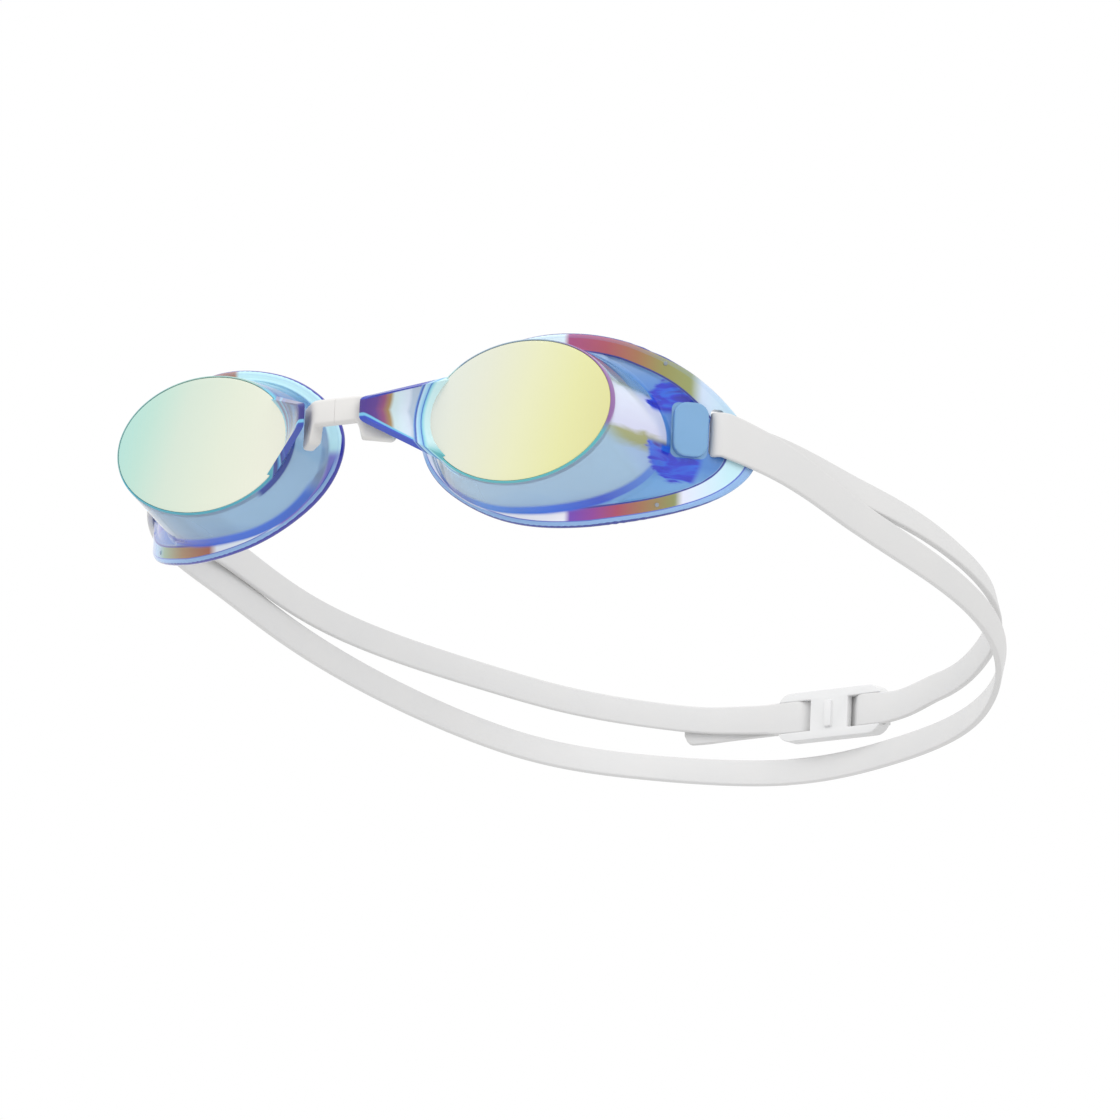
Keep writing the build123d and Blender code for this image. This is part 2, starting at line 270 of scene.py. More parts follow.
def rounded_section(width, height, corner, steps=4):
    """Corner points of a rounded rectangle, anticlockwise from the right."""
    spots = []
    for turn, (sx, sy) in enumerate([(1, 1), (-1, 1), (-1, -1), (1, -1)]):
        for step in range(steps + 1):
            angle = pi / 2 * (turn + step / steps)
            spots.append((
                sx * (width / 2 - corner) + corner * cos(angle),
                sy * (height / 2 - corner) + corner * sin(angle),
            ))
    return spots


def ribbon(name, path, widths, thickness, leans=None, kept=slice(None)):
    """A flat tape along a path, standing on edge, its top leaning out by leans; kept picks its stretch."""
    path = np.asarray(path, float)
    ahead = np.gradient(path, axis=0)
    ahead /= np.linalg.norm(ahead, axis=1)[:, None]
    leans = np.zeros(len(path)) if leans is None else np.radians(leans)
    rings = []
    for spot, along, width, lean in zip(path, ahead, widths, leans):
        side = np.cross(along, (0, 0, 1))
        side /= np.linalg.norm(side)
        up = np.cross(side, along)
        across = up * cos(lean) + side * sin(lean)
        through_it = side * cos(lean) - up * sin(lean)
        section = rounded_section(thickness, width, STRAP_CORNER)
        rings.append([spot + through_it * a + across * b for a, b in section])
    return capped_sweep(name, rings[kept])


def cut(target, tool, operation):
    """Joins or subtracts a helper object, which is removed."""
    change = target.modifiers.new("cut", "BOOLEAN")
    change.operation = operation
    change.solver = "EXACT"
    change.object = tool
    apply_modifiers(target)
    bpy.data.objects.remove(tool)


def apply_modifiers(target):
    """Replaces an object's mesh with what its modifiers make of it."""
    bpy.context.view_layer.update()
    shaped = target.evaluated_get(bpy.context.evaluated_depsgraph_get())
    target.data = bpy.data.meshes.new_from_object(shaped)
    target.modifiers.clear()


def sharpen(target, angle):
    """Shades a mesh smooth, apart from edges sharper than the angle in degrees."""
    target.data.shade_smooth()
    target.data.set_sharp_from_angle(angle=radians(angle))


# ---------------------------------------------------------------- cups
OUTLINE_LOOP = through([OUTLINE[i % len(OUTLINE)] for i in range(-3, len(OUTLINE) + 4)], 0.4)


def outline_spot(angle):
    """The flange outline's point, seen from the front, in a direction from its centre."""
    loop = OUTLINE_LOOP - OUTLINE_CENTRE
    turns = np.arctan2(loop[:, 1], loop[:, 0])
    order = np.argsort(turns)
    x = np.interp(angle, turns[order], loop[order, 0], period=2 * pi)
    z = np.interp(angle, turns[order], loop[order, 1], period=2 * pi)
    return np.array([x, z]) + OUTLINE_CENTRE


def plate_y(x, radius):
    """How far back the flange plate's face of that radius is at x."""
    if x <= BEND_X:
        return ARC_Y - radius
    return ARC_Y - sqrt(radius**2 - (x - BEND_X) ** 2)


def plate_inward(x, radius):
    """The direction into the plate, towards the head, at a point of its outer face."""
    if x <= BEND_X:
        return np.array([0.0, 1.0, 0.0])
    lean = asin((x - BEND_X) / radius)
    return np.array([-sin(lean), cos(lean), 0.0])


def wall_spot(front_half, back_half, angle, y):
    """A point of a flared wall between a front ellipse and a back one."""
    share = y / BACK_Y
    front = np.array([LENS_X + front_half[0] * cos(angle), front_half[1] * sin(angle)])
    back = np.array([BACK_CENTRE[0] + back_half[0] * cos(angle), BACK_CENTRE[1] + back_half[1] * sin(angle)])
    x, z = front + share * (back - front)
    return np.array([x, y, z])


def wall_foot(front_half, back_half, angle, radius):
    """Where that wall meets the plate's face of that radius."""
    y = FLANGE_Y
    for _ in range(30):
        y = plate_y(wall_spot(front_half, back_half, angle, y)[0], radius)
    return wall_spot(front_half, back_half, angle, y)


def bend_between(a, corner, b, steps):
    """A rounded corner from a to b."""
    share = np.linspace(0, 1, steps)[:, None]
    return list((1 - share) ** 2 * a + 2 * share * (1 - share) * corner + share**2 * b)


def inset(spot):
    """How far inside the flange's outline a point is, seen from the front."""
    return np.min(np.hypot(OUTLINE_LOOP[:, 0] - spot[0], OUTLINE_LOOP[:, 1] - spot[2]))


def on_plate(start, end, radius, steps, recessed=False):
    """Points across the plate's face of that radius between two of its points."""
    spots = []
    for share in np.linspace(0, 1, steps):
        x, _, z = start + share * (end - start)
        spot = np.array([x, plate_y(x, radius), z])
        if recessed:
            sunk = np.clip((inset(spot) - BORDER) / RECESS_SLOPE, 0, 1)
            spot += plate_inward(x, radius) * RECESS * sunk * sunk * (3 - 2 * sunk)
        spots.append(spot)
    return spots


def cup_section(angle):
    """One closed section through a cup's rim, wall and flange."""
    inner_front = (RIM_HALF[0] - WALL, RIM_HALF[1] - WALL)
    inner_back = (BACK_HALF[0] - WALL, BACK_HALF[1] - WALL)
    inner_radius = BEND_RADIUS - FLANGE_THICKNESS
    foot = wall_foot(FOOT_HALF, BACK_HALF, angle, BEND_RADIUS)
    inner_foot = wall_foot(inner_front, inner_back, angle, inner_radius)
    direction = np.arctan2(foot[2] - OUTLINE_CENTRE[1], foot[0] - OUTLINE_CENTRE[0])
    x, z = outline_spot(direction)
    edge = np.array([x, plate_y(x, BEND_RADIUS), z])
    outward = edge - foot
    room = np.linalg.norm(outward)
    outward /= room
    into = plate_inward(x, BEND_RADIUS)
    half = FLANGE_THICKNESS / 2
    lip = edge - outward * half
    middle = lip + into * half
    back_edge = lip + into * FLANGE_THICKNESS

    spots = [
        np.array([LENS_X + (POCKET_HALF[0] + grow) * cos(angle), y, (POCKET_HALF[1] + grow) * sin(angle)])
        for grow, y in [(0.0, depth) for depth in POCKET_DEPTHS] + RIM_ROUNDING
    ]
    round_wall = min(FILLET, room * FILLET_SHARE)
    wall_top = wall_spot(RIM_HALF, BACK_HALF, angle, RIM_DROP)
    up_wall = wall_top - foot
    height = np.linalg.norm(up_wall)
    up_wall /= height
    wall_end = foot + up_wall * round_wall
    spots += [wall_top + share * (wall_end - wall_top) for share in np.linspace(0, 1, 9)]
    plate_start = on_plate(foot + outward * round_wall, lip, BEND_RADIUS, 2, True)[0]
    spots += bend_between(wall_end, foot, plate_start, 6)[1:]
    spots += on_plate(plate_start, lip, BEND_RADIUS, 22, True)[1:]
    for turn in np.linspace(0, pi, 9)[1:-1]:
        spots.append(middle - into * half * cos(turn) + outward * half * sin(turn))
    inner_up = wall_spot(inner_front, inner_back, angle, LENS_THICKNESS) - inner_foot
    inner_up /= np.linalg.norm(inner_up)
    inner_end = inner_foot + inner_up * INNER_FILLET
    inner_out = back_edge - inner_foot
    back_start = inner_foot + inner_out / np.linalg.norm(inner_out) * INNER_FILLET
    back_start[1] = plate_y(back_start[0], inner_radius)
    spots += on_plate(back_edge, back_start, inner_radius, 8)
    spots += bend_between(back_start, inner_foot, inner_end, 5)[1:]
    ledge = wall_spot(inner_front, inner_back, angle, LENS_THICKNESS)
    spots += [inner_end + share * (ledge - inner_end) for share in np.linspace(0, 1, 9)[1:]]
    return spots


def wing_rings():
    """Sections of the nose wing, from the lens's inner edge to its blunt tip."""
    def root_side(knots):
        spots = through(knots, 0.1)
        return spots[np.linspace(0, len(spots) - 1, WING_SPOTS).astype(int)]

    heights = np.linspace(WING_TIP_TOP, WING_TIP_BOTTOM, WING_SPOTS)
    tip_outer = np.stack([np.full(WING_SPOTS, WING_TIP_X[0]), heights], axis=1)
    tip_inner = np.stack([np.full(WING_SPOTS, WING_TIP_X[1]), heights[::-1]], axis=1)
    root = np.concatenate([root_side(WING_ROOT_OUTER), root_side(WING_ROOT_INNER)])
    tip = np.concatenate([tip_outer, tip_inner])
    rings = []
    for share, size in [(share, 1.0) for share in np.linspace(0, 0.93, 14)] + WING_TIP_ROUNDING:
        ring = (root + share * (tip - root) - WING_TIP) * size + WING_TIP
        rings.append([(x, WING_ROOT_Y + share * (WING_TIP_Y - WING_ROOT_Y), z) for x, z in ring])
    return rings


def make_cup(name, mirrored):
    """One cup: rim, wall and flange in one closed turn, with its wing, pad and marks, and its slot cut."""
    sections = [cup_section(angle) for angle in np.linspace(0, 2 * pi, AROUND, endpoint=False)]
    rows, columns = len(sections), len(sections[0])
    faces = [tuple(reversed(face)) for face in grid_faces(rows, columns, True, True)]
    cup = mesh_object(name, np.reshape(sections, (-1, 3)), faces)
    wing = capped_sweep("wing", wing_rings())
    fix_normals(wing)
    fix_normals(cup)
    cut(cup, wing, "UNION")
    pad = domed_boss("pad", *PAD_SIZE, PAD_CORNER, PAD_RISE)
    pad.data.transform(arc_frame(BEND_RADIUS, PAD_ANGLE, SLOT_Z))
    fix_normals(pad)
    cut(cup, pad, "UNION")
    for x, z in MOULD_MARKS:
        mark = domed_boss("mark", 2 * MARK_RADIUS, 2 * MARK_RADIUS, MARK_RADIUS * 0.98, MARK_RISE)
        mark.data.transform(arc_frame(BEND_RADIUS, np.degrees(asin((x - BEND_X) / BEND_RADIUS)), z))
        fix_normals(mark)
        cut(cup, mark, "UNION")
    slot = rounded_bar("slot", SLOT_WIDTH, SLOT_HEIGHT, SLOT_CORNER, SLOT_DEPTH)
    slot_angle = SLOT_ANGLE - np.degrees(SLOT_WIDTH / 2 / BAR_MIDDLE)
    slot.data.transform(arc_frame(BAR_MIDDLE, slot_angle, SLOT_Z))
    fix_normals(slot)
    cut(cup, slot, "DIFFERENCE")
    note_distances(cup)
    if mirrored:
        cup.data.transform(Matrix.Diagonal((-1, 1, 1, 1)))
        cup.data.flip_normals()
    sharpen(cup, 38)
    return cup


def note_distances(cup):
    """Keeps, for the paint, how far each point is inside the outline and from the wall's foot."""
    spots = np.empty(len(cup.data.vertices) * 3)
    cup.data.vertices.foreach_get("co", spots)
    spots = spots.reshape(-1, 3) / MM
    angles = np.linspace(0, 2 * pi, AROUND, endpoint=False)
    foot = np.array([wall_foot(FOOT_HALF, BACK_HALF, angle, BEND_RADIUS) for angle in angles])
    for name, points, line in (("inset", spots[:, [0, 2]], OUTLINE_LOOP), ("foot", spots, foot)):
        near = np.array([np.min(np.linalg.norm(line - point, axis=1)) for point in points])
        cup.data.attributes.new(name, "FLOAT", "POINT").data.foreach_set("value", near.astype(np.float32))


def domed_boss(name, width, height, corner, rise):
    """A raised pad with softened edges, sunk 1 mm into what it stands on."""
    rings = []
    for shrink, z in ((0, -1.0), (0, rise - 0.35), (0.05, rise - 0.15), (0.2, rise - 0.03), (0.5, rise)):
        shrink = min(shrink, width * 0.2)
        section = rounded_section(width - 2 * shrink, height - 2 * shrink, max(0.1, corner - shrink), 6)
        rings.append([(x, y, z) for x, y in section])
    return capped_sweep(name, rings)


def fix_normals(target):
    """Turns every face of a closed mesh outwards."""
    work = bmesh.new()
    work.from_mesh(target.data)
    bmesh.ops.remove_doubles(work, verts=work.verts, dist=1e-6)
    bmesh.ops.recalc_face_normals(work, faces=work.faces)
    work.to_mesh(target.data)
    work.free()


def rounded_bar(name, width, height, corner, depth):
    """A prism with rounded corners, centred on the origin, with its depth along z."""
    section = rounded_section(width, height, corner, 6)
    rings = [[(x, y, z) for x, y in section] for z in (-depth / 2, depth / 2)]
    return capped_sweep(name, rings)


# ---------------------------------------------------------------- materials
class Paint:
    """Builds a node material: add() makes a node and links or sets its inputs."""

    def __init__(self, name):
        self.material = bpy.data.materials.new(name)
        self.material.use_nodes = True
        self.tree = self.material.node_tree
        self.tree.nodes.clear()
        self.out = self.tree.nodes.new("ShaderNodeOutputMaterial")

    def add(self, kind, settings=None, **inputs):
        node = self.tree.nodes.new("ShaderNode" + kind)
        for key, value in (settings or {}).items():
            setattr(node, key, value)
        for key, value in inputs.items():
            numbered = key[0] == "i" and key[1:].isdigit()
            self.feed(node.inputs[int(key[1:]) if numbered else key.replace("_", " ")], value)
        return node

    def feed(self, socket, value):
        if isinstance(value, bpy.types.NodeSocket):
            self.tree.links.new(value, socket)
        elif isinstance(value, bpy.types.Node):
            self.tree.links.new(value.outputs[0], socket)
        else:
            socket.default_value = value

    def math(self, operation, a, b=0.0, c=0.0, clamp=False):
        return self.add("Math", {"operation": operation, "use_clamp": clamp}, i0=a, i1=b, i2=c).outputs[0]

    def plus(self, a, b):
        return self.math("ADD", a, b)

    def less(self, a, b):
        return self.math("SUBTRACT", a, b)

    def times(self, first, *others):
        for other in others:
            first = self.math("MULTIPLY", first, other)
        return first

    def length(self, a, b):
        """The length of a step of a one way and b across it."""
        return self.math("SQRT", self.plus(self.math("POWER", a, 2.0), self.math("POWER", b, 2.0)))

    def away_from(self, value, middle):
        return self.math("ABSOLUTE", self.less(value, middle))

    def step(self, value, low, high):
        """0 below low, 1 above high and smooth between; low may be above high."""
        smooth = {"interpolation_type": "SMOOTHSTEP"}
        return self.add("MapRange", smooth, i0=value, i1=low, i2=high, i3=0.0, i4=1.0).outputs[0]

    def between(self, value, low, high, soft):
        """1 where value is from low to high, with soft ends."""
        rise = self.step(value, low - soft / 2, low + soft / 2)
        fall = self.step(value, high + soft / 2, high - soft / 2)
        return self.times(rise, fall)

    def mix(self, share, a, b):
        node = self.add("Mix", {"data_type": "RGBA"})
        self.feed(node.inputs[0], share)
        self.feed(node.inputs[6], a)
        self.feed(node.inputs[7], b)
        return node.outputs[2]

    def ramp(self, value, low, high, stops):
        """Colours along value from low to high; each stop is a value and a colour."""
        share = self.math("DIVIDE", self.less(value, low), high - low, clamp=True)
        node = self.add("ValToRGB", Fac=share)
        elements = node.color_ramp.elements
        while len(elements) < len(stops):
            elements.new(0.5)
        for element, (where, colour) in zip(elements, stops):
            element.position = (where - low) / (high - low)
            element.color = tone(colour)
        return node.outputs[0]

    def place(self):
        """The point on the object, in millimetres, as x, y and z sockets."""
        spot = self.add("TexCoord").outputs["Object"]
        scaled = self.add("VectorMath", {"operation": "SCALE"}, i0=spot, Scale=1 / MM).outputs[0]
        parts = self.add("SeparateXYZ", i0=scaled).outputs
        return scaled, parts[0], parts[1], parts[2]

    def finish(self, surface, volume=None):
        self.tree.links.new(surface.outputs[0], self.out.inputs["Surface"])
        if volume is not None:
            self.tree.links.new(volume.outputs[0], self.out.inputs["Volume"])
        return self.material


def tone(hex_colour):
    """A screen colour such as "9FB9DB" as linear RGBA."""
    parts = [int(hex_colour[i:i + 2], 16) / 255 for i in (0, 2, 4)]
    return tuple(p / 12.92 if p <= 0.04045 else ((p + 0.055) / 1.055) ** 2.4 for p in parts) + (1.0,)


# Where a cup's or lens's colours begin and end, in millimetres; BESIDE_SPAN and the clearnesses are
# shares, of the rim's half sizes and of all light
HEIGHT_SPAN = (-20.0, 14.0)
CREASE_SPAN = (5.0, 60.0)
BORDER_SPAN = (5.0, 70.0)
WING_SPAN = (4.0, 20.0)
BESIDE_SPAN = (1.0, 1.16)
LENS_SPAN = (-56.0, 56.0)
TEMPLE_FROM = (52.5, 54.5)
WALL_CLEARNESS = 0.62
TEMPLE_CLEARNESS = 0.32
OUTLINE_WIDTH = 0.3
EDGE_WIDTH = 1.0


class CupCoatingAndPaintedLight(Paint):
    """A cup's mirror coating over clear blue plastic, with painted highlights and shade, laid on zone by
    zone; looks holds its colours.

    A mask is made of steps, which fade in from their first number to their second.
    """

    def __init__(self, name, sign, looks):
        super().__init__(name)
        self.looks = looks
        self.spot, x, self.y, self.z = self.place()
        self.x = self.times(x, sign)
        self.inset = self.add("Attribute", {"attribute_name": "inset"}).outputs["Fac"]
        self.foot = self.add("Attribute", {"attribute_name": "foot"}).outputs["Fac"]
        beyond = self.math("MAXIMUM", self.less(self.x, BEND_X), 0.0)
        rise = self.less(ARC_Y, self.y)
        self.depth = self.less(BEND_RADIUS, self.length(beyond, rise))
        self.along = self.times(self.math("ARCTAN2", beyond, rise), BEND_RADIUS)
        self.plate = self.step(self.depth, -0.3, 0.0)
        self.near_face = self.step(self.depth, 0.8, 0.5)
        stretched = self.add("VectorMath", {"operation": "MULTIPLY"}, i0=self.spot, i1=(0.25, 0.25, 1.1))
        streaks = self.add("TexNoise", i0=stretched, Scale=0.55, Detail=3.0, Distortion=0.6)
        self.streaks = streaks.outputs[0]
        self.sway = self.less(self.streaks, 0.5)
        self.level = self.plus(self.z, self.times(self.sway, 2.0))

    def by_height(self, zone):
        return self.ramp(self.level, *HEIGHT_SPAN, self.looks[zone])

    def cover(self, clearness, shade, *masks):
        """Lays a colour over the place that all the masks show."""
        mask = self.times(*masks)
        shade = tone(shade) if isinstance(shade, str) else shade
        self.colour = self.mix(mask, self.colour, shade)
        kept = self.times(self.clearness, self.less(1.0, mask))
        self.clearness = self.plus(kept, self.times(mask, clearness))

    def lay_wall(self):
        """The flared wall, flat blue-grey below the lens and banded at the temple with a painted reflection
        and painted crease shade, and with a painted saturated-blue crease line at its foot.
        """
        temple = self.step(self.x, *TEMPLE_FROM)
        self.colour = self.mix(temple, self.by_height("wall"), self.by_height("temple"))
        self.clearness = self.less(WALL_CLEARNESS, self.times(temple, WALL_CLEARNESS - TEMPLE_CLEARNESS))
        # A painted saturated-blue crease line at the wall's foot, standing in for refraction and shade there
        crease = self.ramp(self.x, *CREASE_SPAN, self.looks["crease"])
        near_foot = self.step(self.foot, 2.4, 1.5), self.step(self.depth, 0.25, -0.2)
        self.cover(0.25, crease, *near_foot, self.step(self.z, -6.0, -10.0))

    def lay_plate(self):
        """The sunken plate round the pad, with painted dark-blue crease shade above and below the pad, and
        the pad.
        """
        sunken = self.step(self.inset, BORDER - 0.1, BORDER + 0.3)
        self.cover(0.35, self.by_height("plate"), self.plate, sunken)
        pad_along = BEND_RADIUS * radians(PAD_ANGLE)
        aside = self.less(self.away_from(self.along, pad_along), PAD_SIZE[0] / 2 - 1.0)
        above = self.less(self.away_from(self.z, SLOT_Z), PAD_SIZE[1] / 2 - 1.2)
        off_pad = self.length(self.math("MAXIMUM", aside, 0.0), self.math("MAXIMUM", above, 0.0))
        swirl = self.plus(off_pad, self.times(self.sway, 5.0))
        # Painted dark-blue shade in the creases above and below the pad
        self.cover(
            0.15, self.ramp(self.streaks, 0.3, 0.7, self.looks["pad_crease_shade"]),
            self.step(swirl, 6.2, 5.2), self.step(off_pad, 1.1, 1.4), self.step(above, -1.4, -0.2),
            self.step(self.x, 50.5, 52.5), self.step(self.foot, 7.5, 6.0),
        )
        on_pad = self.step(off_pad, 1.35, 1.15), self.step(self.depth, -1.6, -1.2)
        self.cover(0.3, self.looks["pad"], *on_pad, self.step(self.x, 55.0, 56.0))

    def lay_border(self):
        """The flange's coated border, with painted dark shade lines along both sides, and a painted highlight
        along its edge, strongest below, with a painted shade line beside it there.
        """
        top = self.ramp(self.x, *BORDER_SPAN, self.looks["top"])
        bottom = self.ramp(self.x, *BORDER_SPAN, self.looks["bottom"])
        bands = self.mix(self.step(self.z, -3.0, -1.0), bottom, top)
        self.cover(0.12, bands, self.plate, self.step(self.inset, BORDER + 0.25, BORDER - 0.15))
        # Painted dark shade lines in the groove round the sunken plate and along the outline
        groove = self.between(self.inset, BORDER - 0.2, BORDER + 0.1, 0.15)
        self.cover(0.2, self.looks["line"], self.plate, groove, self.near_face)
        low = self.step(self.z, -2.0, -6.0)
        edge = self.step(self.inset, EDGE_WIDTH + 0.05, EDGE_WIDTH - 0.05)
        mostly_low = self.plus(self.times(low, 0.85), 0.15)
        self.cover(0.2, EDGE_HIGHLIGHT_COLOUR, edge, self.step(self.depth, -0.1, 0.0), mostly_low)
        beside_edge = self.between(self.inset, EDGE_WIDTH - 0.05, EDGE_WIDTH + 0.12, 0.1)
        self.cover(0.15, EDGE_SHADE_LINE_COLOUR, low, self.plate, beside_edge, self.near_face)
        outline = self.step(self.inset, OUTLINE_WIDTH + 0.04, OUTLINE_WIDTH - 0.04)
        self.cover(0.1, self.looks["line"], self.plate, outline)

    def lay_wing(self):
        """The nose wing, banded along its length, on the left with a painted highlight band, with painted
        dark shade on its edges and a painted glint line inside the lower one.
        """
        off_middle = self.away_from(self.z, WING_TIP[1])
        slanted = self.plus(self.x, self.times(off_middle, -0.25))
        self.cover(0.3, self.ramp(slanted, *WING_SPAN, self.looks["wing"]), self.step(self.y, 0.1, -0.5))
        share = self.math("DIVIDE", self.less(WING_ROOT_Y, self.y), WING_ROOT_Y - WING_TIP_Y)
        top = self.less(WING_ROOT_HALF, self.times(share, WING_ROOT_HALF - WING_TIP_TOP))
        bottom = self.less(self.times(share, WING_ROOT_HALF + WING_TIP_BOTTOM), WING_ROOT_HALF)
        to_top = self.less(top, self.z)
        to_bottom = self.less(self.z, bottom)
        on_wing = self.step(self.y, 0.6, 0.3), self.step(self.x, 22.0, 21.0)
        self.cover(0.2, WING_GLINT_COLOUR, *on_wing, self.step(to_bottom, 1.3, 1.0))
        self.cover(0.1, self.looks["wing_top_edge_shade"], *on_wing, self.step(to_top, 0.6, 0.35))
        self.cover(0.1, self.looks["wing_bottom_edge_shade"], *on_wing, self.step(to_bottom, 0.75, 0.5))

    def lay_rim(self):
        """The rim round the lens, painted as a thin shade line, and the painted highlight bands and shade
        lines between it and the wing.
        """
        sideways = self.math("DIVIDE", self.less(self.x, LENS_X), RIM_HALF[0])
        spread = self.length(sideways, self.math("DIVIDE", self.z, RIM_HALF[1]))
        stops = self.looks["beside"]
        lines_end = stops[-1][0]
        beside = self.step(spread, lines_end, lines_end - 0.006), self.step(self.y, 1.6, 1.2)
        self.cover(0.2, self.ramp(spread, *BESIDE_SPAN, stops), *beside, self.step(self.x, 23.0, 21.0))
        clear_of_wing = self.math("MAXIMUM", self.step(self.x, 20.0, 24.0), self.step(self.z, -4.0, -7.0))
        upper = self.mix(
            self.step(self.x, 40.0, 48.0), tone(self.looks["rim_high"]), tone(self.looks["rim_side"]))
        shade = self.mix(self.step(self.z, -6.0, -3.0), tone(self.looks["rim_low"]), upper)
        self.cover(0.1, shade, self.step(spread, 1.012, 1.004), self.step(self.y, 1.2, 0.9), clear_of_wing)

    def done(self):
        grain = self.add("TexNoise", i0=self.spot, Scale=3.0, Detail=3.0)
        rough = self.plus(0.03, self.times(grain.outputs[0], 0.06))
        shader = self.add(
            "BsdfPrincipled", Base_Color=self.colour, Roughness=rough, IOR=1.5,
            Transmission_Weight=self.clearness, Coat_Weight=0.5, Coat_Roughness=0.03,
        )
        inside = self.add("VolumeAbsorption", Color=(0.25, 0.62, 0.85, 1.0), Density=60.0)
        return self.finish(shader, inside)


def cup_paint(name, sign, looks):
    """Clear blue polycarbonate whose mirror coating changes colour from place to place, with highlights,
    reflections and shade painted into the colour.
    """
    coating = CupCoatingAndPaintedLight(name, sign, looks)
    coating.lay_wall()
    coating.lay_plate()
    coating.lay_border()
    coating.lay_wing()
    coating.lay_rim()
    return coating.done()


def lens_paint():
    """A bright mirror coating on the front, which drifts from mint to pale gold across both lenses."""
    paint = Paint("lens_mirror_coating")
    spot, x, y, z = paint.place()
    drift = paint.plus(x, paint.times(z, -0.3))
    colour = paint.ramp(drift, *LENS_SPAN, LENS_TINTS)
    waves = {"wave_type": "BANDS", "bands_direction": "X"}
    bands = paint.add("TexWave", waves, i0=spot, Scale=0.35, Distortion=2.0)
    colour = paint.mix(paint.times(bands.outputs[1], 0.04), colour, tone(LENS_BAND_COLOUR))
    grain = paint.add("TexNoise", i0=spot, Scale=2.0, Detail=4.0)
    rough = paint.plus(0.16, paint.times(grain.outputs[0], 0.08))
    back = paint.step(y, 0.3, 0.5)
    colour = paint.mix(back, colour, tone(LENS_BACK_COLOUR))
    shine = paint.times(paint.less(1.0, back), 0.7)
    shader = paint.add(
        "BsdfPrincipled", Base_Color=colour, Metallic=shine, Roughness=rough,
        Coat_Weight=0.5, Coat_Roughness=0.05,
    )
    return paint.finish(shader)


def silicone_paint(name, colour, warm):
    """Matte silicone or satin plastic: a fine moulded grain and faint clouding between two shades."""
    paint = Paint(name)
    spot = paint.place()[0]
    cloud = paint.add("TexNoise", i0=spot, Scale=0.12, Detail=2.0)
    shade = paint.mix(cloud.outputs[0], tone(colour), tone(warm))
    grain = paint.add("TexNoise", i0=spot, Scale=6.0, Detail=4.0)
    bump = paint.add("Bump", Strength=0.12, Distance=0.00005, Height=grain.outputs[0])
    rough = paint.plus(0.42, paint.times(grain.outputs[0], 0.16))
    shader = paint.add(
        "BsdfPrincipled", Base_Color=shade, Roughness=rough, Normal=bump,
        Sheen_Weight=0.08, Sheen_Roughness=0.4,
    )
    return paint.finish(shader)


def floor_paint():
    """Pale paper with faint clouding."""
    paint = Paint("floor_paper")
    cloud = paint.add("TexNoise", i0=paint.place()[0], Scale=0.002, Detail=2.0)
    shade = paint.mix(paint.times(cloud.outputs[0], 0.06), tone("F0F0F0"), tone("E4E4E4"))
    return paint.finish(paint.add("BsdfPrincipled", Base_Color=shade, Roughness=0.9))


